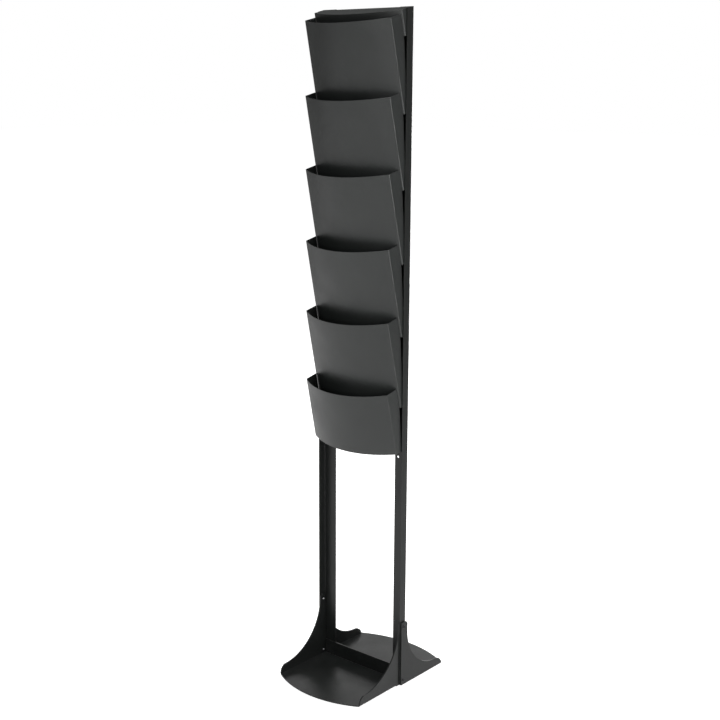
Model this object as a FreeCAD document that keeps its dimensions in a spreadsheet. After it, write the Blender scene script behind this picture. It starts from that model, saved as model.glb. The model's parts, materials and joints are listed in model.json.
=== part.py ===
import FreeCAD, Part

# Floor-standing brochure rack: two angle uprights on a pair of folded floor trays carry six
# leaning pockets with curved fronts, and a short capped panel of the same section at the top.
# Millimetres, +Z up, the pockets face -Y. The origin is on the floor, midway between the
# uprights and midway between the front and rear ends of the trays.

import math
import os

import Sketcher

DRIVING_SIZES = {
    # uprights: two bent angles, webs outside and flanges at the rear
    "overall_width": 250,
    "upright_depth": 21.6,
    "upright_flange": 35.6,
    "upright_length": 1524.7,
    "upright_sheet": 1.5,
    "bend_inside": 1,
    # pockets: one curved front with two side flaps bent from one sheet; width and bulge are
    # those of the rim, and each millimetre down the lean adds to half the width and takes
    # from the bulge
    "pocket_count": 6,
    "pocket_pitch": 159.2,
    "pocket_width": 239.2,
    "pocket_spread": 0.016,
    "pocket_bulge": 40.9,
    "bulge_fall": 0.04,
    "pocket_sheet": 1.2,
    "pocket_lean": 13,
    "pocket_depth": 145,
    "apron_length": 200,
    "rim_height": 1504.2,
    "rim_reach": 69.4,
    "flap_depth": 32.8,
    "flap_knee": 53,
    "flap_taper": 9.5,
    "fold_radius": 2.4,
    # crescent plates inside the shells, each bent up or down into a wall on the flanges
    "plate_clearance": 0.2,
    "wall_above_rim": 10,
    "cap_wall": 39,
    "cap_rise": 0.3,
    # floor trays: fins inside the webs at the front, outside them at the rear
    "tray_sheet": 3,
    "tray_bend": 0.5,
    "tray_reach": 158.8,
    "tray_bow": 33.7,
    "seat_gap": 0.2,
    "side_gap": 0.1,
    "fin_start": 1.3,
    "fin_height": 158,
    "fin_corner": 8,
    "fin_nose_height": 21.8,
    "front_tab": 19.5,
    "front_sweep": 126,
    "front_nose": 20,
    "rear_tab": 23,
    "rear_sweep": 113,
    "rear_nose": 26,
    "upstand_height": 36,
    "upstand_inset": 4.4,
    "relief_depth": 5,
    "rear_tray_seat": 19.5,
    "lip_length": 6.5,
    # button-head screws and nuts through the rear flanges
    "pocket_screw": 5,
    "pocket_screw_length": 8,
    "pocket_hole": 5.2,
    "pocket_head": 9.5,
    "pocket_head_height": 2.7,
    "pocket_key": 3,
    "pocket_nut": 8,
    "pocket_nut_height": 4,
    "nut_bore": 5.1,
    "screw_spacing": 196,
    # button-head screws through the sides of the base, tapped into the front tray
    "base_screw": 4,
    "base_screw_length": 9,
    "base_hole": 4.5,
    "base_tapped": 4.1,
    "base_head": 7.6,
    "base_head_height": 2.2,
    "base_key": 2.5,
    "base_screw_low": 15,
    "base_screw_rise": 133.5,
    "base_screw_setback": 11,
    # rubber pads
    "pad_diameter": 22,
    "pad_edge": 0.8,
    "rear_pad_height": 1.4,
    "front_pad_across": 95,
    "front_pad_forward": 140,
    "rear_pad_across": 100,
    "rear_pad_back": 115,
}

# Cutting outlines run this far past the sheet that they trim.
CLEAR = 5

doc = FreeCAD.newDocument("brochure_rack")
sheet = doc.addObject("Spreadsheet::Sheet", "sizes")


class Measure:
    """A number together with the sheet expression that it comes from."""

    def __init__(self, value, text):
        self.value = value
        self.text = text

    def __add__(self, other):
        other = measure(other)
        return Measure(self.value + other.value, f"({self.text} + {other.text})")

    def __sub__(self, other):
        other = measure(other)
        return Measure(self.value - other.value, f"({self.text} - {other.text})")

    def __mul__(self, other):
        other = measure(other)
        return Measure(self.value * other.value, f"({self.text} * {other.text})")

    def __truediv__(self, other):
        other = measure(other)
        return Measure(self.value / other.value, f"({self.text} / {other.text})")

    def __radd__(self, other):
        return measure(other) + self

    def __rsub__(self, other):
        return measure(other) - self

    def __rmul__(self, other):
        return measure(other) * self

    def __neg__(self):
        return self * -1


def measure(number):
    if isinstance(number, Measure):
        return number
    return Measure(float(number), f"({float(number)})")


def root(amount):
    return Measure(math.sqrt(amount.value), f"sqrt({amount.text})")


def sine(angle):
    return Measure(math.sin(math.radians(angle.value)), f"sin({angle.text})")


def cosine(angle):
    return Measure(math.cos(math.radians(angle.value)), f"cos({angle.text})")


def tangent(angle):
    return sine(angle) / cosine(angle)


def fill_sheet():
    """Writes the driving sizes to the sheet and returns them as measures by name."""
    sizes = {}
    for row, (name, value) in enumerate(DRIVING_SIZES.items(), start=1):
        sheet.set(f"A{row}", name)
        sheet.set(f"B{row}", str(value))
        sheet.setAlias(f"B{row}", name)
        sizes[name] = Measure(float(value), f"sizes.{name}")
    doc.recompute()
    return sizes


size = fill_sheet()


def bind(target, path, amount):
    """Ties one property of an object to the sheet."""
    target.setExpression(path, measure(amount).text)


def new_body(name, base=(0, 0, 0), axis=(1, 0, 0), angle=0):
    """A body at a bound place, turned about an axis by a bound angle.

    base is measured from the middle plane, the uprights' rear faces and the floor.
    """
    body = doc.addObject("PartDesign::Body", name)
    body.Label = name
    x, y, z = base
    place = [measure(x), REAR_FACES + y, measure(z)]
    angle = measure(angle)
    spot = FreeCAD.Vector(*[part.value for part in place])
    turn = FreeCAD.Rotation(FreeCAD.Vector(*axis), angle.value)
    body.Placement = FreeCAD.Placement(spot, turn)
    for letter, part in zip("xyz", place):
        bind(body, f"Placement.Base.{letter}", part)
    if angle.value:
        bind(body, "Placement.Rotation.Angle", angle)
    return body


def origin_feature(body, role):
    return next(item for item in body.Origin.OriginFeatures if item.Role == role)


def new_sketch(body, plane, name, offset=0, tip_back=0):
    """A sketch on one of the body's own origin planes, moved along its normal by offset.

    tip_back turns the plane back about the X axis by that many degrees.
    """
    sketch = body.newObject("Sketcher::SketchObject", f"{body.Label}_{name}")
    sketch.AttachmentSupport = (origin_feature(body, plane), [""])
    sketch.MapMode = "FlatFace"
    offset = measure(offset)
    tip_back = measure(tip_back)
    shift = FreeCAD.Vector(0, 0, offset.value)
    turn = FreeCAD.Rotation(FreeCAD.Vector(-1, 0, 0), tip_back.value)
    sketch.AttachmentOffset = FreeCAD.Placement(shift, turn)
    bind(sketch, "AttachmentOffset.Base.z", offset)
    if tip_back.value:
        bind(sketch, "AttachmentOffset.Rotation.Angle", tip_back)
    return sketch


def arc_between(start, end, radius):
    """An arc from start to end; a positive radius turns left, a negative one turns right."""
    middle = (start + end) / 2
    chord = end - start
    left = FreeCAD.Vector(-chord.y, chord.x, 0).normalize()
    away = math.sqrt(max(radius**2 - (chord.Length / 2) ** 2, 0))
    centre = middle + left * math.copysign(away, radius)
    circle = Part.Circle(centre, FreeCAD.Vector(0, 0, 1), abs(radius))
    ends = (start, end) if radius > 0 else (end, start)
    return Part.ArcOfCircle(circle, circle.parameter(ends[0]), circle.parameter(ends[1]))


def outline(sketch, corners):
    """A closed outline. Each corner is (x, y) or (x, y, radius of the arc that leaves it)."""
    points = [[measure(part) for part in corner] for corner in corners]
    spots = [FreeCAD.Vector(point[0].value, point[1].value, 0) for point in points]
    starts = []
    ends = []
    for index, point in enumerate(points):
        here = spots[index]
        there = spots[(index + 1) % len(spots)]
        if len(point) == 3:
            edge = sketch.addGeometry(arc_between(here, there, point[2].value))
            turned = point[2].value < 0
            radius = abs(point[2].value)
            sign = -1 if turned else 1
            number = sketch.addConstraint(Sketcher.Constraint("Radius", edge, radius))
            bind(sketch, f"Constraints[{number}]", point[2] * sign)
        else:
            edge = sketch.addGeometry(Part.LineSegment(here, there))
            turned = False
        starts.append((edge, 2 if turned else 1))
        ends.append((edge, 1 if turned else 2))
    for index, point in enumerate(points):
        edge, end = starts[index]
        previous, other = ends[index - 1]
        sketch.addConstraint(Sketcher.Constraint("Coincident", previous, other, edge, end))
        for kind, part in (("DistanceX", point[0]), ("DistanceY", point[1])):
            rule = Sketcher.Constraint(kind, -1, 1, edge, end, part.value)
            number = sketch.addConstraint(rule)
            bind(sketch, f"Constraints[{number}]", part)


def circle(sketch, x, y, diameter):
    """A full circle, placed and sized from the sheet."""
    x, y, diameter = measure(x), measure(y), measure(diameter)
    centre = FreeCAD.Vector(x.value, y.value, 0)
    edge = sketch.addGeometry(Part.Circle(centre, FreeCAD.Vector(0, 0, 1), diameter.value / 2))
    for kind, part in (("DistanceX", x), ("DistanceY", y)):
        rule = Sketcher.Constraint(kind, -1, 1, edge, 3, part.value)
        number = sketch.addConstraint(rule)
        bind(sketch, f"Constraints[{number}]", part)
    number = sketch.addConstraint(Sketcher.Constraint("Diameter", edge, diameter.value))
    bind(sketch, f"Constraints[{number}]", diameter)


def hexagon(sketch, across_flats):
    """A hexagon about the sketch's origin."""
    reach = across_flats / math.sqrt(3)
    turns = [math.radians(60 * side) for side in range(6)]
    outline(sketch, [(reach * math.cos(turn), reach * math.sin(turn)) for turn in turns])


def pad(body, sketch, length, symmetric=False, reverse=False):
    """Grows a sketch into the body by a bound length."""
    feature = body.newObject("PartDesign::Pad", f"{sketch.Label}_pad")
    feature.Profile = sketch
    feature.SideType = "Symmetric" if symmetric else "One side"
    feature.Reversed = reverse
    bind(feature, "Length", length)
    doc.recompute()
    return feature


def revolve(body, sketch):
    """Turns a half profile round the body's Z axis."""
    feature = body.newObject("PartDesign::Revolution", f"{sketch.Label}_turned")
    feature.Profile = sketch
    feature.ReferenceAxis = (origin_feature(body, "Z_Axis"), [""])
    feature.Angle = 360
    doc.recompute()
    return feature


def cut(body, sketch, depth=None):
    """Cuts a sketch right through both ways, or down to a depth, and proves it removed something."""
    before = body.Shape.Volume
    feature = body.newObject("PartDesign::Pocket", f"{sketch.Label}_cut")
    feature.Profile = sketch
    if depth is None:
        feature.SideType = "Symmetric"
        feature.Type = "ThroughAll"
    else:
        bind(feature, "Length", depth)
    doc.recompute()
    if body.Shape.Volume >= before:
        raise RuntimeError(f"{feature.Label} removed nothing")
    return feature


def fillet(body, feature, radius, chosen):
    """Rounds the edges of a feature that pass a test on their middle point and direction."""
    names = []
    for number, edge in enumerate(feature.Shape.Edges, start=1):
        middle = (edge.FirstParameter + edge.LastParameter) / 2
        if chosen(edge.valueAt(middle), edge.tangentAt(middle)):
            names.append(f"Edge{number}")
    if not names:
        raise RuntimeError(f"{feature.Label} has no edge to round")
    rounding = body.newObject("PartDesign::Fillet", f"{feature.Label}_rounded")
    rounding.Base = (feature, names)
    bind(rounding, "Radius", radius)
    doc.recompute()
    return rounding


def loft(body, first, last):
    """Joins two matching sections with straight lines."""
    feature = body.newObject("PartDesign::AdditiveLoft", f"{first.Label}_loft")
    feature.Profile = first
    feature.Sections = [last]
    feature.Ruled = True
    doc.recompute()
    return feature


def repeat_upward(body, feature, step, count):
    """Repeats a feature up the body's Z axis."""
    pattern = body.newObject("PartDesign::LinearPattern", f"{feature.Label}_row")
    pattern.Originals = [feature]
    pattern.Direction = (origin_feature(body, "Z_Axis"), [""])
    bind(pattern, "Length", step * (count - 1))
    bind(pattern, "Occurrences", count)
    body.Tip = pattern
    doc.recompute()
    return pattern


# Places that several pieces share.
REAR_FACES = (size["upright_sheet"] + size["seat_gap"] + size["rear_tray_seat"]) / 2
HALF_WIDTH = size["overall_width"] / 2
WEB_INSIDE = HALF_WIDTH - size["upright_sheet"]
REAR_TRAY_LEVEL = size["rear_pad_height"]
FRONT_TRAY_LEVEL = REAR_TRAY_LEVEL + size["tray_sheet"]
UPRIGHT_FOOT = FRONT_TRAY_LEVEL + size["tray_bend"]
UPRIGHT_TOP = UPRIGHT_FOOT + size["upright_length"]
BASE_SCREW_RISES = (measure(0), size["base_screw_rise"])
LEAN = size["pocket_lean"]
HOLE_ROWS = size["pocket_count"] + 1
LOWEST_HOLE = size["rim_height"] - size["pocket_pitch"] * size["pocket_count"]
HALF_SPACING = size["screw_spacing"] / 2
# The wall of a pocket's floor plate lies on the flanges, and the cap's wall lies on that one.
FIRST_WALL = size["upright_sheet"]
SECOND_WALL = FIRST_WALL + size["pocket_sheet"]
# Rows of pocket frames count down from the top pocket; the top panel hangs one pitch above.
CAP_ROW = -1


def make_upright(name, side):
    """An angle section, web outside and flange at the rear; side is +1 right, -1 left."""
    body = new_body(name, (0, 0, UPRIGHT_FOOT))
    corner = size["bend_inside"] + size["upright_sheet"]
    flange_end = HALF_WIDTH - size["upright_flange"]
    front = -size["upright_depth"]
    face = -size["upright_sheet"]
    section = new_sketch(body, "XY_Plane", "section")
    corners = [
        (HALF_WIDTH * side, front),
        (HALF_WIDTH * side, -corner, corner * side),
        ((HALF_WIDTH - corner) * side, 0),
        (flange_end * side, 0),
        (flange_end * side, face),
        ((HALF_WIDTH - corner) * side, face, size["bend_inside"] * -side),
        (WEB_INSIDE * side, -corner),
        (WEB_INSIDE * side, front),
    ]
    outline(section, corners)
    length = size["upright_length"]
    pad(body, section, length)

    # The top of the web falls forward from the flange, at right angles to the lean.
    reach = front - CLEAR
    fall = (face - reach) * tangent(LEAN)
    top_cut = new_sketch(body, "YZ_Plane", "top_cut")
    corners = [(face, length), (reach, length - fall), (reach, length + CLEAR), (face, length + CLEAR)]
    outline(top_cut, corners)
    cut(body, top_cut)

    flange_hole = new_sketch(body, "XZ_Plane", "flange_hole")
    circle(flange_hole, HALF_SPACING * side, LOWEST_HOLE - UPRIGHT_FOOT, size["pocket_hole"])
    lowest = cut(body, flange_hole)
    repeat_upward(body, lowest, size["pocket_pitch"], HOLE_ROWS)

    web_holes = new_sketch(body, "YZ_Plane", "web_holes")
    for rise in BASE_SCREW_RISES:
        height = size["base_screw_low"] + rise - UPRIGHT_FOOT
        circle(web_holes, -size["base_screw_setback"], height, size["base_hole"])
    cut(body, web_holes)
    return body


def pocket_body(name, row):
    """A body in a pocket's frame: origin on the rim chord, Z up the lean, -Y out of the front."""
    height = size["rim_height"] - size["pocket_pitch"] * row
    return new_body(name, (0, -size["rim_reach"], height), angle=LEAN)


def cap_drop():
    """Distance down the lean, from the top panel's rim chord, to the outer face of the cap.

    The face would meet the plane of the uprights' rear faces just above their tops.
    """
    rise = size["rim_height"] + size["pocket_pitch"] - UPRIGHT_TOP - size["cap_rise"]
    return size["rim_reach"] * sine(LEAN) + rise * cosine(LEAN)


def flap_depth_at(drop):
    """Depth of a flap at a distance down the lean, below the knee."""
    return size["flap_depth"] - (drop - size["flap_knee"]) * tangent(size["flap_taper"])


def half_width_at(drop):
    """Half the width of a shell over its folds, at a distance down the lean."""
    return size["pocket_width"] / 2 + drop * size["pocket_spread"]


def front_arc_at(drop):
    """Radius of the outside of a front, and the distance of its centre behind the folds."""
    half = half_width_at(drop)
    bulge = size["pocket_bulge"] - drop * size["bulge_fall"]
    radius = (half * half / bulge + bulge) / 2
    return radius, radius - bulge


def shell_section(body, name, drop):
    """The section of a shell at a distance down the lean, flaps at their full depth."""
    depth = size["flap_depth"]
    half = half_width_at(drop)
    radius, centre = front_arc_at(drop)
    inner_half = half - size["pocket_sheet"]
    inner_radius = radius - size["pocket_sheet"]
    inner_corner = centre - root(inner_radius * inner_radius - inner_half * inner_half)
    section = new_sketch(body, "XY_Plane", name, -drop)
    corners = [
        (-half, depth),
        (-half, 0, radius),
        (half, 0),
        (half, depth),
        (inner_half, depth),
        (inner_half, inner_corner, -inner_radius),
        (-inner_half, inner_corner),
        (-inner_half, depth),
    ]
    outline(section, corners)
    return section


def make_shell(name, row, top, bottom):
    """A bowed front with two side flaps, from top to bottom down the lean from the rim chord."""
    body = pocket_body(name, row)
    upper = shell_section(body, "upper_section", top)
    lower = shell_section(body, "lower_section", bottom)
    sheet_metal = loft(body, upper, lower)
    middle = half_width_at((top + bottom) / 2)

    def fold_at(half):
        def test(point, direction):
            along = abs(direction.z) > 0.99
            return along and abs(abs(point.x) - half.value) < 0.01 and point.y < 1

        return test

    outside = fillet(body, sheet_metal, size["fold_radius"], fold_at(middle))
    inner_fold = size["fold_radius"] - size["pocket_sheet"]
    fillet(body, outside, inner_fold, fold_at(middle - size["pocket_sheet"]))

    # The flap keeps its depth down to the knee, and then its rear edge runs in behind the webs.
    if top.value < size["flap_knee"].value:
        start = size["flap_knee"]
    else:
        start = top - CLEAR
    end = bottom + CLEAR
    behind = size["flap_depth"] + CLEAR
    waste = new_sketch(body, "YZ_Plane", "flap_edge")
    corners = [
        (flap_depth_at(start), -start),
        (flap_depth_at(end), -end),
        (behind, -end),
        (behind, -start),
    ]
    outline(waste, corners)
    cut(body, waste)
    return body


def make_plate(name, row, drop, wall_setback, wall, upward):
    """A crescent plate across a shell, bent into an upright wall in front of the flanges.

    drop is the distance down the lean to its outer face: underneath for a floor, on top for a
    cap. wall_setback is the distance from the uprights' rear faces to the wall's rear face, and
    wall is the height of the wall. Directions are worked out in the leaning frame of the pocket.
    """
    body = pocket_body(name, row)
    thickness = size["pocket_sheet"]
    sign = 1 if upward else -1
    clearance = thickness + size["plate_clearance"]
    half = half_width_at(drop) - clearance
    front = -size["pocket_bulge"] - CLEAR
    rise_y = sine(LEAN) * sign
    rise_z = cosine(LEAN) * sign
    forward_y = -cosine(LEAN) * thickness
    forward_z = sine(LEAN) * thickness
    outer_y = (size["rim_reach"] - wall_setback - drop * sine(LEAN)) / cosine(LEAN)
    end_y = outer_y + wall * rise_y
    end_z = wall * rise_z - drop
    # Along the wall, from the outer corner to the level of the plate's other face.
    reach_inside = thickness * (1 - sine(LEAN) * sign) / cosine(LEAN)
    inner_y = outer_y + forward_y + reach_inside * rise_y
    inner_z = thickness * sign - drop
    side = new_sketch(body, "YZ_Plane", "side")
    corners = [
        (front, -drop),
        (outer_y, -drop),
        (end_y, end_z),
        (end_y + forward_y, end_z + forward_z),
        (inner_y, inner_z),
        (front, inner_z),
    ]
    outline(side, corners)
    bent = pad(body, side, half * 2, symmetric=True)

    def bend_at(y, z):
        def test(point, direction):
            near = math.hypot(point.y - y.value, point.z - z.value) < 0.01
            return abs(direction.x) > 0.99 and near

        return test

    outer_bend = size["bend_inside"] + thickness
    rounded = fillet(body, bent, outer_bend, bend_at(outer_y, measure(0) - drop))
    fillet(body, rounded, size["bend_inside"], bend_at(inner_y, inner_z))

    # The front edge follows the inside of the shell, and its ends are cut off short of the folds.
    outer_radius, centre = front_arc_at(drop)
    radius = outer_radius - clearance
    arc_end = root(radius * radius - centre * centre)
    corner = size["fold_radius"]
    away = size["pocket_width"]
    trim = new_sketch(body, "XY_Plane", "front_edge")
    corners = [
        (-away, corner),
        (-away, -away),
        (away, -away),
        (away, corner),
        (half, corner),
        (arc_end, 0, -radius),
        (-arc_end, 0),
        (-half, corner),
    ]
    outline(trim, corners)
    cut(body, trim)

    # Screw holes at the rim height of the pocket, level through the wall.
    holes = new_sketch(body, "XZ_Plane", "wall_holes", tip_back=LEAN)
    height = measure(0) if upward else -size["pocket_pitch"]
    for side_sign in (-1, 1):
        circle(holes, HALF_SPACING * side_sign, height, size["pocket_hole"])
    cut(body, holes)
    return body


def make_floor(name, row):
    """The floor plate of a pocket; its wall passes the screws at rim height."""
    drop = size["pocket_depth"]
    corner_y = (size["rim_reach"] - FIRST_WALL - drop * sine(LEAN)) / cosine(LEAN)
    corner_height = drop * cosine(LEAN) - corner_y * sine(LEAN)
    wall = corner_height + size["wall_above_rim"]
    return make_plate(name, row, drop, FIRST_WALL, wall, upward=True)


def fold_tray(name, base, turn, half, tab, sweep, nose):
    """A tray folded up into two fins, in a frame whose Y=0 is its straight edge and -Y is out.

    Each fin falls from a square tab in a hollow sweep to a rounded nose on the floor.
    """
    body = new_body(name, base, axis=(0, 0, 1), angle=turn)
    thickness = size["tray_sheet"]
    bend = size["tray_bend"] + thickness
    height = size["fin_height"]
    reach = size["tray_reach"]
    start = size["fin_start"]
    section = new_sketch(body, "XZ_Plane", "section", start)
    corners = [
        (-half, height),
        (-half, bend, bend),
        (bend - half, 0),
        (half - bend, 0, bend),
        (half, bend),
        (half, height),
        (half - thickness, height),
        (half - thickness, bend, -size["tray_bend"]),
        (half - bend, thickness),
        (bend - half, thickness, -size["tray_bend"]),
        (thickness - half, bend),
        (thickness - half, height),
    ]
    outline(section, corners)
    pad(body, section, reach + size["tray_bow"] - start)

    corner = size["fin_corner"]
    nose_height = size["fin_nose_height"]
    away = reach + size["tray_bow"] + CLEAR
    fin = new_sketch(body, "YZ_Plane", "fin")
    corners = [
        (corner - tab, height, corner),
        (-tab, height - corner),
        (-tab, nose_height + sweep, -sweep),
        (-tab - sweep, nose_height, nose),
        (-reach, thickness),
        (-away, thickness),
        (-away, height + CLEAR),
        (corner - tab, height + CLEAR),
    ]
    outline(fin, corners)
    cut(body, fin)

    # The floor ends in a bow between the noses of the fins.
    radius = (half * half / size["tray_bow"] + size["tray_bow"]) / 2
    bow = new_sketch(body, "XY_Plane", "bow")
    corners = [
        (-half, -reach, radius),
        (half, -reach),
        (half * 2, -reach),
        (half * 2, -away),
        (-half * 2, -away),
        (-half * 2, -reach),
    ]
    outline(bow, corners)
    cut(body, bow)

    # Corner relief, so that the edge between the fins can be folded or lapped by itself.
    relief = new_sketch(body, "YZ_Plane", "relief")
    depth = size["relief_depth"]
    corners = [(-depth, -CLEAR), (CLEAR, -CLEAR), (CLEAR, bend), (-depth, bend)]
    outline(relief, corners)
    cut(body, relief)
    return body


def drill_fins(body, seat, level, diameter):
    """The two screw holes through both fins of a tray whose straight edge is seat from Y=0."""
    holes = new_sketch(body, "YZ_Plane", "fin_holes")
    for rise in BASE_SCREW_RISES:
        circle(holes, seat, size["base_screw_low"] + rise - level, diameter)
    cut(body, holes)


def make_front_tray(name):
    """The front tray: fins inside the webs, and an upstand between them before the flanges."""
    seat = size["upright_sheet"] + size["seat_gap"]
    half = WEB_INSIDE - size["side_gap"]
    shape = size["front_tab"], size["front_sweep"], size["front_nose"]
    body = fold_tray(name, (0, -seat, FRONT_TRAY_LEVEL), 0, half, *shape)
    thickness = size["tray_sheet"]
    bend = size["tray_bend"] + thickness
    root_at = size["relief_depth"] + 1
    upstand = new_sketch(body, "YZ_Plane", "upstand")
    corners = [
        (-root_at, 0),
        (-bend, 0, bend),
        (0, bend),
        (0, size["upstand_height"]),
        (-thickness, size["upstand_height"]),
        (-thickness, bend, -size["tray_bend"]),
        (-bend, thickness),
        (-root_at, thickness),
    ]
    outline(upstand, corners)
    pad(body, upstand, (half - size["upstand_inset"]) * 2, symmetric=True)
    hole_y = seat - size["base_screw_setback"]
    drill_fins(body, hole_y, FRONT_TRAY_LEVEL, size["base_tapped"])
    return body


def make_rear_tray(name):
    """The rear tray: fins outside the webs, and a lip that laps under the front tray."""
    seat = size["rear_tray_seat"]
    half = HALF_WIDTH + size["side_gap"] + size["tray_sheet"]
    shape = size["rear_tab"], size["rear_sweep"], size["rear_nose"]
    body = fold_tray(name, (0, -seat, REAR_TRAY_LEVEL), 180, half, *shape)
    root_at = size["relief_depth"] + 1
    lip = new_sketch(body, "YZ_Plane", "lip")
    corners = [
        (-root_at, 0),
        (size["lip_length"], 0),
        (size["lip_length"], size["tray_sheet"]),
        (-root_at, size["tray_sheet"]),
    ]
    outline(lip, corners)
    lip_half = half - size["tray_sheet"] - size["tray_bend"] - size["upstand_inset"]
    pad(body, lip, lip_half * 2, symmetric=True)
    hole_y = size["base_screw_setback"] - seat
    drill_fins(body, hole_y, REAR_TRAY_LEVEL, size["base_hole"])
    return body


def make_screw(name, diameter, length, head, head_height, key):
    """A button-head screw with a hexagon socket: under-head plane at Z=0, shank downwards."""
    body = new_body(name)
    rim = head_height / 8
    crown = key * 0.75
    tip = diameter / 10
    profile = new_sketch(body, "XZ_Plane", "profile")
    corners = [
        (0, -length),
        (diameter / 2 - tip, -length),
        (diameter / 2, tip - length),
        (diameter / 2, 0),
        (head / 2, 0),
        (head / 2, rim, head / 2),
        (crown, head_height),
        (0, head_height),
    ]
    outline(profile, corners)
    revolve(body, profile)
    socket = new_sketch(body, "XY_Plane", "socket", head_height)
    hexagon(socket, key)
    cut(body, socket, head_height * 0.6)
    return body


def make_nut(name):
    """A hexagon nut whose top face is at Z=0."""
    body = new_body(name)
    blank = new_sketch(body, "XY_Plane", "blank")
    hexagon(blank, size["pocket_nut"])
    pad(body, blank, size["pocket_nut_height"], reverse=True)
    bore = new_sketch(body, "XY_Plane", "bore")
    circle(bore, 0, 0, size["nut_bore"])
    cut(body, bore)
    return body


def make_foot_pad(name, height):
    """A round rubber pad from the floor up, with its lower edge rounded."""
    body = new_body(name)
    disc = new_sketch(body, "XY_Plane", "disc")
    circle(disc, 0, 0, size["pad_diameter"])
    solid = pad(body, disc, height)

    def lower_rim(point, _direction):
        return abs(point.z) < 0.01

    fillet(body, solid, size["pad_edge"], lower_rim)
    return body


def copy_group(name, master, places):
    """Separate copies of one solid, under one name."""
    group = doc.addObject("Part::Feature", name)
    group.Label = name
    copies = []
    for place in places:
        copy = master.Shape.copy()
        copy.Placement = place
        copies.append(copy)
    group.Shape = Part.makeCompound(copies)
    group.Placement = FreeCAD.Placement()
    return group


def spot(x, y, z, axis=(1, 0, 0), angle=0):
    """A plain placement; y is measured from the uprights' rear faces, like a body's."""
    point = FreeCAD.Vector(measure(x).value, (REAR_FACES + y).value, measure(z).value)
    return FreeCAD.Placement(point, FreeCAD.Rotation(FreeCAD.Vector(*axis), angle))


def flange_places(top_setback, other_setback):
    """Places on the screw holes in use, facing the rear: the top pair, then the rest."""
    places = []
    for row in range(int(size["pocket_count"].value)):
        setback = other_setback if row else top_setback
        height = size["rim_height"] - size["pocket_pitch"] * row
        for side in (-1, 1):
            places.append(spot(HALF_SPACING * side, -setback, height, angle=-90))
    return places


def make_pocket_screws():
    """Screws from the rear, heads on the flanges."""
    master = make_screw(
        "pocket_screw_master",
        size["pocket_screw"],
        size["pocket_screw_length"] + size["pocket_sheet"],
        size["pocket_head"],
        size["pocket_head_height"],
        size["pocket_key"],
    )
    return copy_group("pocket_screws", master, flange_places(measure(0), measure(0)))


def make_pocket_nuts():
    """Nuts inside the pockets; the top pair clamps the cap's wall as well."""
    behind_cap = SECOND_WALL + size["pocket_sheet"]
    places = flange_places(behind_cap, SECOND_WALL)
    return copy_group("pocket_nuts", make_nut("pocket_nut_master"), places)


def make_base_screws():
    """Screws from both sides through the rear tray's fins and the webs into the front tray."""
    master = make_screw(
        "base_screw_master",
        size["base_screw"],
        size["base_screw_length"],
        size["base_head"],
        size["base_head_height"],
        size["base_key"],
    )
    head_at = HALF_WIDTH + size["side_gap"] + size["tray_sheet"]
    places = []
    for side in (-1, 1):
        for rise in BASE_SCREW_RISES:
            height = size["base_screw_low"] + rise
            place = spot(
                head_at * side, -size["base_screw_setback"], height, (0, 1, 0), 90 * side
            )
            places.append(place)
    return copy_group("base_screws", master, places)


def make_foot_pads(name, height, across, along):
    """A pair of pads under one tray."""
    master = make_foot_pad(f"{name}_master", height)
    places = [spot(across * side, along, 0) for side in (-1, 1)]
    return copy_group(name, master, places)


def build_pieces():
    """Every separate piece of the rack, each with its own name."""
    pieces = [
        make_upright("upright_left", -1),
        make_upright("upright_right", 1),
        make_front_tray("front_base_tray"),
        make_rear_tray("rear_base_tray"),
    ]
    count = int(size["pocket_count"].value)
    for row in range(count):
        number = row + 1
        # The lowest shell ends at its floor; the others hang on as aprons to the next pocket.
        bottom = size["apron_length"] if number < count else size["pocket_depth"]
        pieces.append(make_shell(f"pocket_{number}_shell", row, measure(0), bottom))
        pieces.append(make_floor(f"pocket_{number}_floor", row))
    pieces.append(make_shell("top_panel", CAP_ROW, cap_drop(), size["apron_length"]))
    cap = make_plate("top_cap", CAP_ROW, cap_drop(), SECOND_WALL, size["cap_wall"], upward=False)
    pieces.append(cap)
    pieces.append(make_pocket_screws())
    pieces.append(make_pocket_nuts())
    pieces.append(make_base_screws())
    front_across = size["front_pad_across"]
    rear_across = size["rear_pad_across"]
    front_along = -size["front_pad_forward"]
    pads_front = make_foot_pads("front_foot_pads", FRONT_TRAY_LEVEL, front_across, front_along)
    pads_rear = make_foot_pads(
        "rear_foot_pads", REAR_TRAY_LEVEL, rear_across, size["rear_pad_back"]
    )
    return pieces + [pads_front, pads_rear]


def check_document(pieces):
    """Stops if any object failed to recompute or any piece is not a sound solid."""
    doc.recompute()
    for item in doc.Objects:
        if "Invalid" in item.State or "Error" in item.State:
            raise RuntimeError(f"{item.Label} failed to recompute")
    for piece in pieces:
        shape = piece.Shape
        if shape.isNull() or not shape.isValid():
            raise RuntimeError(f"{piece.Label} has no valid shape")
        if piece.TypeId == "PartDesign::Body" and len(shape.Solids) != 1:
            raise RuntimeError(f"{piece.Label} holds {len(shape.Solids)} solids, not one")


def write_pieces(pieces):
    """Writes each piece to its own file, named after it."""
    os.makedirs("parts", exist_ok=True)
    for piece in pieces:
        piece.Shape.exportStep(os.path.join("parts", f"{piece.Label}.step"))


all_pieces = build_pieces()
check_document(all_pieces)
write_pieces(all_pieces)
for piece in all_pieces:
    box = piece.Shape.optimalBoundingBox(False)
    solids = len(piece.Shape.Solids)
    print(f"{piece.Label}: {solids} solid, X {box.XMin:.1f} {box.XMax:.1f}", end=", ")
    print(f"Y {box.YMin:.1f} {box.YMax:.1f}, Z {box.ZMin:.1f} {box.ZMax:.1f}")
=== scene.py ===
import json
import math

import bpy
from mathutils import Matrix, Vector


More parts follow.
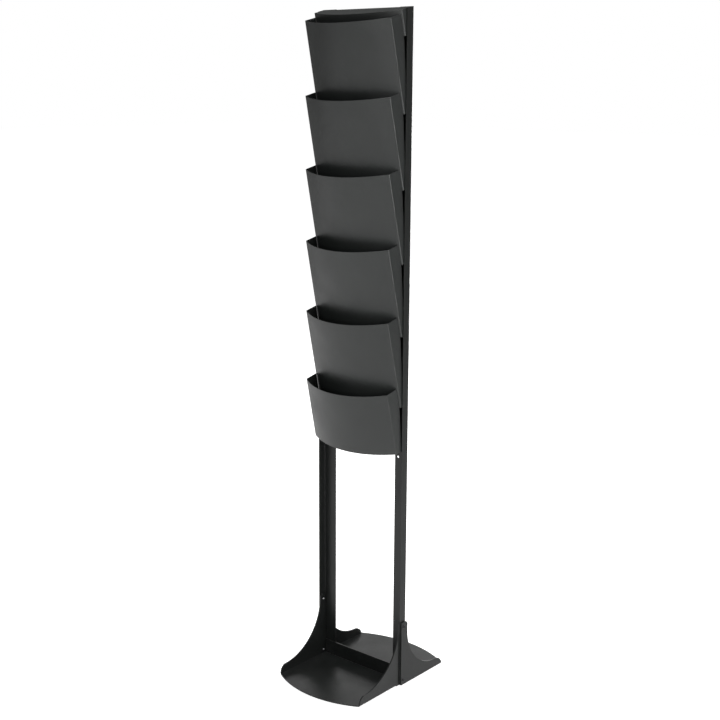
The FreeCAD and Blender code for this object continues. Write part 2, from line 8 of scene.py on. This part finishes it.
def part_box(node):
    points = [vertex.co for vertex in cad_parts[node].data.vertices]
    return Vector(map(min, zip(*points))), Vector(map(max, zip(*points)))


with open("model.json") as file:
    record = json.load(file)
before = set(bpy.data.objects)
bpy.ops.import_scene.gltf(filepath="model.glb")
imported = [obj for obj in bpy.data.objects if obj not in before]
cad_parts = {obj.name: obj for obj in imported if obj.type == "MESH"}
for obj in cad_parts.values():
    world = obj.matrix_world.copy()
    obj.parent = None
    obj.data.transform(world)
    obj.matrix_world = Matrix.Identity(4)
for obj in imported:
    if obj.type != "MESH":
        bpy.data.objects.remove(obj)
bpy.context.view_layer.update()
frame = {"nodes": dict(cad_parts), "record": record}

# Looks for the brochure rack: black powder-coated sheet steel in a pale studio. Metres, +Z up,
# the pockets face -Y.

MM = 0.001
TRAY_SHEET = 3 * MM


# ---------------------------------------------------------------- node helpers

def graded(tree, value, low, high, to_low, to_high):
    """Maps low..high to to_low..to_high, and holds the ends."""
    made = tree.nodes.new("ShaderNodeMapRange")
    made.clamp = True
    tree.links.new(value, made.inputs["Value"])
    made.inputs["From Min"].default_value = low
    made.inputs["From Max"].default_value = high
    made.inputs["To Min"].default_value = to_low
    made.inputs["To Max"].default_value = to_high
    return made.outputs["Result"]


class Graph:
    """A material's node tree, with short calls for the nodes that the finishes share."""

    def __init__(self, name):
        self.material = bpy.data.materials.new(name)
        self.material.use_nodes = True
        self.tree = self.material.node_tree
        self.shader = self.tree.nodes["Principled BSDF"]
        self.geometry = self.node("ShaderNodeNewGeometry")
        self.place = self.geometry.outputs["Position"]

    def node(self, kind, **values):
        made = self.tree.nodes.new(kind)
        for key, value in values.items():
            setattr(made, key, value)
        return made

    def link(self, source, target):
        """Joins a node's output to an input, or sets the input to a plain value."""
        if isinstance(source, (int, float, tuple)):
            target.default_value = source
        else:
            self.tree.links.new(source, target)

    def noise(self, waves, detail=3.0, roughness=0.5):
        """Cloudy noise fixed to the rack, with this many waves per metre."""
        made = self.node("ShaderNodeTexNoise")
        made.inputs["Scale"].default_value = waves
        made.inputs["Detail"].default_value = detail
        made.inputs["Roughness"].default_value = roughness
        self.link(self.place, made.inputs["Vector"])
        return made.outputs["Fac"]

    def cells(self, count):
        """Distance to the nearest of scattered points, this many to the metre."""
        made = self.node("ShaderNodeTexVoronoi")
        made.inputs["Scale"].default_value = count
        self.link(self.place, made.inputs["Vector"])
        return made.outputs["Distance"]

    def ramp(self, value, low, high, to_low=0.0, to_high=1.0):
        return graded(self.tree, value, low, high, to_low, to_high)

    def math(self, operation, first, second=0.0):
        made = self.node("ShaderNodeMath", operation=operation)
        self.link(first, made.inputs[0])
        self.link(second, made.inputs[1])
        return made.outputs[0]

    def mix(self, amount, first, second):
        """Blends two colours: the first at amount 0, the second at 1."""
        made = self.node("ShaderNodeMix", data_type="RGBA")
        self.link(amount, made.inputs["Factor"])
        self.link(first, made.inputs["A"])
        self.link(second, made.inputs["B"])
        return made.outputs["Result"]

    def round_edges(self, radius):
        """The surface's normal, turned as if its sharp edges were rounded to this radius."""
        made = self.node("ShaderNodeBevel", samples=6)
        made.inputs["Radius"].default_value = radius
        return made.outputs["Normal"]

    def edges(self, radius):
        """1 along sharp edges and 0 elsewhere, from how far a rounded normal turns away."""
        dot = self.node("ShaderNodeVectorMath", operation="DOT_PRODUCT")
        self.link(self.round_edges(radius), dot.inputs[0])
        self.link(self.geometry.outputs["Normal"], dot.inputs[1])
        return self.ramp(dot.outputs["Value"], 0.96, 0.75)

    def facing_up(self):
        """1 on surfaces that face up, 0 on walls and undersides."""
        split = self.node("ShaderNodeSeparateXYZ")
        self.link(self.geometry.outputs["Normal"], split.inputs[0])
        return self.ramp(split.outputs["Z"], 0.35, 0.95)

    def inside_fins(self):
        """1 on the ends of the base screws that stand out of the front fins' inner faces."""
        fin_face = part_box("front_base_tray")[1].x - TRAY_SHEET
        pocket_screws_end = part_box("pocket_screws")[1].x
        split = self.node("ShaderNodeSeparateXYZ")
        self.link(self.place, split.inputs[0])
        across = self.math("ABSOLUTE", split.outputs["X"])
        past_flanges = self.ramp(across, pocket_screws_end + 1 * MM, pocket_screws_end + 2 * MM)
        before_fins = self.ramp(across, fin_face + 0.2 * MM, fin_face)
        return self.math("MULTIPLY", past_flanges, before_fins)

    def bump(self, height, depth, strength, normal=None):
        """A normal disturbed by a height from 0 to 1 that stands for this depth."""
        made = self.node("ShaderNodeBump")
        made.inputs["Strength"].default_value = strength
        made.inputs["Distance"].default_value = depth
        self.link(height, made.inputs["Height"])
        if normal is not None:
            self.link(normal, made.inputs["Normal"])
        return made.outputs["Normal"]

    def finish(self, colour, roughness, normal, metallic=0.0, specular=0.5):
        self.link(colour, self.shader.inputs["Base Color"])
        self.link(roughness, self.shader.inputs["Roughness"])
        self.link(normal, self.shader.inputs["Normal"])
        self.link(metallic, self.shader.inputs["Metallic"])
        self.link(specular, self.shader.inputs["Specular IOR Level"])
        return self.material


def tinted(colour, gain, lift=0.0):
    """A colour made brighter or darker, with full opacity."""
    return tuple(part * gain + lift for part in colour) + (1,)


def grey(shade):
    return (shade, shade, shade, 1)


# ---------------------------------------------------------------- materials

def powder_coat(name, colour, roughness, gloss):
    """Fine-textured powder coat: orange peel and grit, faint mottling, dust, and rubbed edges."""
    graph = Graph(name)
    mottling = graph.ramp(graph.noise(5.0, detail=4.0), 0.3, 0.7)
    base = graph.mix(mottling, tinted(colour, 0.86), tinted(colour, 1.16))
    dust_patches = graph.ramp(graph.noise(60.0, detail=5.0), 0.42, 0.72, 0.1, 0.6)
    dust = graph.math("MULTIPLY", graph.facing_up(), dust_patches)
    base = graph.mix(dust, base, tinted(colour, 1.35, 0.006))
    worn_patches = graph.ramp(graph.noise(140.0, detail=5.0, roughness=0.7), 0.5, 0.68, 0.08, 0.5)
    wear = graph.math("MULTIPLY", graph.edges(0.7 * MM), worn_patches)
    base = graph.mix(wear, base, tinted(colour, 2.1, 0.012))
    rough = graph.ramp(graph.noise(18.0), 0.3, 0.7, roughness - 0.04, roughness + 0.05)
    peel = graph.noise(900.0, detail=2.0)
    grit = graph.math("MULTIPLY", graph.cells(2200.0), 0.5)
    texture = graph.math("ADD", peel, grit)
    normal = graph.bump(texture, 0.06 * MM, 0.55, graph.round_edges(0.5 * MM))
    return graph.finish(base, rough, normal, specular=gloss)


def black_oxide(name):
    """Oxide-blackened steel worn paler on the edges, with bare steel on the cut ends."""
    graph = Graph(name)
    tone = graph.ramp(graph.noise(400.0, detail=4.0), 0.35, 0.65)
    base = graph.mix(tone, (0.008, 0.008, 0.009, 1), (0.02, 0.02, 0.022, 1))
    wear = graph.math("MULTIPLY", graph.edges(0.4 * MM), 0.5)
    base = graph.mix(wear, base, grey(0.2))
    base = graph.mix(graph.inside_fins(), base, (0.6, 0.6, 0.62, 1))
    rough = graph.ramp(graph.noise(900.0), 0.3, 0.7, 0.32, 0.5)
    normal = graph.bump(graph.noise(2600.0), 0.02 * MM, 0.5, graph.round_edges(0.2 * MM))
    return graph.finish(base, rough, normal, metallic=0.6)


def zinc_plate(name):
    """Bright zinc with a faint cloudy bloom."""
    graph = Graph(name)
    bloom = graph.ramp(graph.noise(300.0, detail=5.0), 0.35, 0.7)
    base = graph.mix(bloom, (0.46, 0.48, 0.51, 1), (0.66, 0.67, 0.68, 1))
    rough = graph.ramp(graph.noise(700.0), 0.3, 0.7, 0.25, 0.42)
    normal = graph.bump(graph.noise(1800.0), 0.02 * MM, 0.5, graph.round_edges(0.25 * MM))
    return graph.finish(base, rough, normal, metallic=1.0)


def pad_rubber(name):
    """Matt moulded rubber with a fine grain and a little floor dust."""
    graph = Graph(name)
    dust = graph.ramp(graph.noise(220.0, detail=5.0), 0.5, 0.75, 0.0, 0.5)
    base = graph.mix(dust, grey(0.016), (0.07, 0.067, 0.062, 1))
    rough = graph.ramp(graph.noise(500.0), 0.3, 0.7, 0.72, 0.9)
    normal = graph.bump(graph.noise(2400.0), 0.05 * MM, 0.6, graph.round_edges(0.3 * MM))
    return graph.finish(base, rough, normal)


def paint(node, material):
    mesh = frame["nodes"][node].data
    mesh.materials.clear()
    mesh.materials.append(material)


def paint_all():
    """Gives each CAD node the finish of its material slot in the record."""
    finishes = {
        "frame_coat": powder_coat("frame_powder_coat", (0.0066, 0.0074, 0.007), 0.34, 0.36),
        "pocket_coat": powder_coat("pocket_powder_coat", (0.0155, 0.0172, 0.0165), 0.36, 0.48),
        "black_fastener": black_oxide("black_oxide_steel"),
        "zinc_fastener": zinc_plate("zinc_plated_steel"),
        "pad_rubber": pad_rubber("pad_rubber_black"),
    }
    for entry in frame["record"]["subparts"]:
        paint(entry["node"], finishes[entry["material_slot"]])


# ---------------------------------------------------------------- studio

CAMERA_PLACE = Vector((1.7774, -2.1102, 1.3722))
CAMERA_AZIMUTH = math.radians(40.239)
CAMERA_DIP = math.radians(12.509)
CAMERA_ROLL = math.radians(0.306)
CAMERA_LENS = 62.332
CAMERA_SENSOR = 36.0

# The softboxes' powers, in watts, and the point that most of them face.
KEY_POWER = 60
SIDE_POWER = 46
TOP_POWER = 190
BACK_POWER = 7
REAR_FILL_POWER = 110
RACK_MIDDLE = (0, 0, 0.8)

# The room's brightness, where 1.0 is white on screen. It rises with the cosine of the angle
# between a direction and the bright side.
BRIGHT_SIDE = (0.95, 0.0, 0.3)
ROOM_DARK = 0.05
ROOM_DARK_COSINE = -0.8
ROOM_BRIGHT = 0.5
ROOM_BRIGHT_COSINE = 0.9

# The floor's glow, as the camera sees it and as it lights the rack: a pool of light to the
# front left that fades out with distance.
FLOOR_HALF = 30.0
FLOOR_SHADE = 0.6
FLOOR_GLOW_SEEN = 0.9
FLOOR_GLOW = 0.62
FLOOR_GLOW_FAR = 0.04
POOL_CENTRE = (-1.5, -1.7, 0.0)
POOL_LIT_TO = 1.1
POOL_DARK_FROM = 3.0


def add_camera():
    """The camera stands to the right of the front, a little below the rack's top."""
    ahead = Vector((
        -math.sin(CAMERA_AZIMUTH) * math.cos(CAMERA_DIP),
        math.cos(CAMERA_AZIMUTH) * math.cos(CAMERA_DIP),
        -math.sin(CAMERA_DIP),
    ))
    right = Vector((math.cos(CAMERA_AZIMUTH), math.sin(CAMERA_AZIMUTH), 0))
    up = right.cross(ahead)
    rolled_right = right * math.cos(CAMERA_ROLL) + up * math.sin(CAMERA_ROLL)
    rolled_up = up * math.cos(CAMERA_ROLL) - right * math.sin(CAMERA_ROLL)
    data = bpy.data.cameras.new("photo_camera")
    data.lens = CAMERA_LENS
    data.sensor_width = CAMERA_SENSOR
    camera = bpy.data.objects.new("photo_camera", data)
    bpy.context.collection.objects.link(camera)
    turn = Matrix((rolled_right, rolled_up, -ahead)).transposed().to_4x4()
    camera.matrix_world = Matrix.Translation(CAMERA_PLACE) @ turn
    bpy.context.scene.camera = camera


def add_softbox(name, place, target, width, height, power):
    """A rectangular area light at a place, turned to a target and unseen by the camera."""
    data = bpy.data.lights.new(name, "AREA")
    data.shape = "RECTANGLE"
    data.size = width
    data.size_y = height
    data.energy = power
    light = bpy.data.objects.new(name, data)
    bpy.context.collection.objects.link(light)
    light.visible_camera = False
    light.location = place
    light.rotation_euler = (Vector(target) - Vector(place)).to_track_quat("-Z", "Y").to_euler()


def add_lights():
    add_softbox("key_softbox", (1.6, -3.9, 1.8), RACK_MIDDLE, 1.6, 2.2, KEY_POWER)
    add_softbox("side_softbox", (2.5, -0.5, 0.68), RACK_MIDDLE, 0.7, 1.5, SIDE_POWER)
    add_softbox("top_softbox", (0.4, -0.6, 5.0), RACK_MIDDLE, 2.2, 2.2, TOP_POWER)
    add_softbox("back_softbox", (-2.1, 2.5, 1.5), (0, 0, 0.2), 2.0, 0.9, BACK_POWER)
    # The rear fill stands behind the pockets' fronts and left of the right upright's web, so it
    # reaches neither of them directly.
    add_softbox("rear_fill", (-0.7, 3.4, 0.8), RACK_MIDDLE, 1.6, 1.4, REAR_FILL_POWER)


def split_by_camera(tree, for_camera, for_others):
    """Mixes two shaders: the first is what the camera sees, the second lights everything else."""
    path = tree.nodes.new("ShaderNodeLightPath")
    mixed = tree.nodes.new("ShaderNodeMixShader")
    tree.links.new(path.outputs["Is Camera Ray"], mixed.inputs[0])
    tree.links.new(for_others, mixed.inputs[1])
    tree.links.new(for_camera, mixed.inputs[2])
    return mixed.outputs[0]


def studio_paper(name):
    """Matt white paper with a faint mottling."""
    graph = Graph(name)
    tone = graph.ramp(graph.noise(3.0), 0.3, 0.7)
    base = graph.mix(tone, grey(FLOOR_SHADE - 0.005), grey(FLOOR_SHADE + 0.005))
    normal = graph.bump(graph.noise(400.0), 0.02 * MM, 0.2)
    graph.finish(base, 0.8, normal, specular=0.1)
    return graph


def glowing(graph, strength):
    """The graph's own surface with light of this strength added to it."""
    glow = graph.node("ShaderNodeEmission")
    graph.link(strength, glow.inputs["Strength"])
    lit = graph.node("ShaderNodeAddShader")
    graph.link(graph.shader.outputs[0], lit.inputs[0])
    graph.link(glow.outputs[0], lit.inputs[1])
    return lit.outputs[0]


def floor_paper(name):
    """White sweep paper: burnt out to the camera, and a pool of light to everything else."""
    graph = studio_paper(name)
    away = graph.node("ShaderNodeVectorMath", operation="DISTANCE")
    graph.link(graph.place, away.inputs[0])
    graph.link(POOL_CENTRE, away.inputs[1])
    distance = away.outputs["Value"]
    pool = graph.ramp(distance, POOL_LIT_TO, POOL_DARK_FROM, FLOOR_GLOW, FLOOR_GLOW_FAR)
    both = split_by_camera(graph.tree, glowing(graph, FLOOR_GLOW_SEEN), glowing(graph, pool))
    graph.link(both, graph.tree.nodes["Material Output"].inputs["Surface"])
    return graph.material


def add_floor():
    half = FLOOR_HALF
    mesh = bpy.data.meshes.new("studio_floor")
    corners = [(-half, -half, 0), (half, -half, 0), (half, half, 0), (-half, half, 0)]
    mesh.from_pydata(corners, [], [(0, 1, 2, 3)])
    mesh.materials.append(floor_paper("studio_floor_paper"))
    floor = bpy.data.objects.new("studio_floor", mesh)
    bpy.context.collection.objects.link(floor)


def add_world():
    """White to the camera; to the rack, a dim room that brightens towards its right side."""
    world = bpy.data.worlds.new("studio_world")
    world.use_nodes = True
    tree = world.node_tree
    white = tree.nodes["Background"]
    white.inputs["Color"].default_value = (1, 1, 1, 1)
    white.inputs["Strength"].default_value = 1.0
    toward = tree.nodes.new("ShaderNodeTexCoord").outputs["Generated"]
    dot = tree.nodes.new("ShaderNodeVectorMath")
    dot.operation = "DOT_PRODUCT"
    tree.links.new(toward, dot.inputs[0])
    dot.inputs[1].default_value = Vector(BRIGHT_SIDE).normalized()
    cosine = dot.outputs["Value"]
    cosines = ROOM_DARK_COSINE, ROOM_BRIGHT_COSINE
    strength = graded(tree, cosine, *cosines, ROOM_DARK, ROOM_BRIGHT)
    room = tree.nodes.new("ShaderNodeBackground")
    tree.links.new(strength, room.inputs["Strength"])
    both = split_by_camera(tree, white.outputs[0], room.outputs[0])
    tree.links.new(both, tree.nodes["World Output"].inputs["Surface"])
    bpy.context.scene.world = world


def add_studio():
    add_world()
    add_floor()
    add_camera()
    add_lights()
    view = bpy.context.scene.view_settings
    view.view_transform = "Standard"
    view.look = "None"


paint_all()
add_studio()
